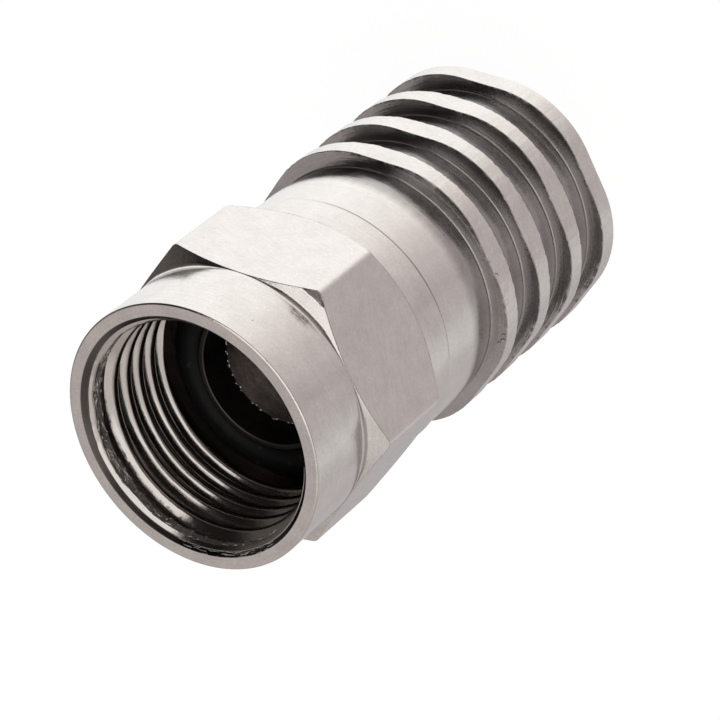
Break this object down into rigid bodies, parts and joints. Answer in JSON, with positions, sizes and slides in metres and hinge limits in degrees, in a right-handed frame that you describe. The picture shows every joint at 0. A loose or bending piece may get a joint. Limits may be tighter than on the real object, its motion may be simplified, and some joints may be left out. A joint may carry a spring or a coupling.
{
  "type": "f connector plug",
  "caption": "Coaxial cable screw plug with a free-turning hexagon coupling nut, rubber seal ring, hollow inner post and ringed grip barrel.",
  "frame": {"origin": "centre of the grip barrel's flat rear face, on the plug's axis", "axes": "+Z along the plug's axis, from the cable end up to the nose of the coupling nut; +X through a corner of the nut's hexagon"},
  "size_m": [0.0126, 0.0114, 0.0217],
  "materials": {
    "nickel_plate": "bright nickel plate over turned brass",
    "post_metal": "thin dull plate over brass",
    "seal_rubber": "smooth moulded"
  },
  "bodies": {
    "plug_body": {"grip_barrel": "nickel_plate", "inner_post": "post_metal", "seal_ring": "seal_rubber"},
    "nut": {"coupling_nut": "nickel_plate"}
  },
  "joints": [
    {"name": "nut_spin", "type": "hinge", "parent": "plug_body", "child": "nut", "pos_m": [0, 0, 0.0134], "axis": [0, 0, 1], "continuous": true}
  ]
}
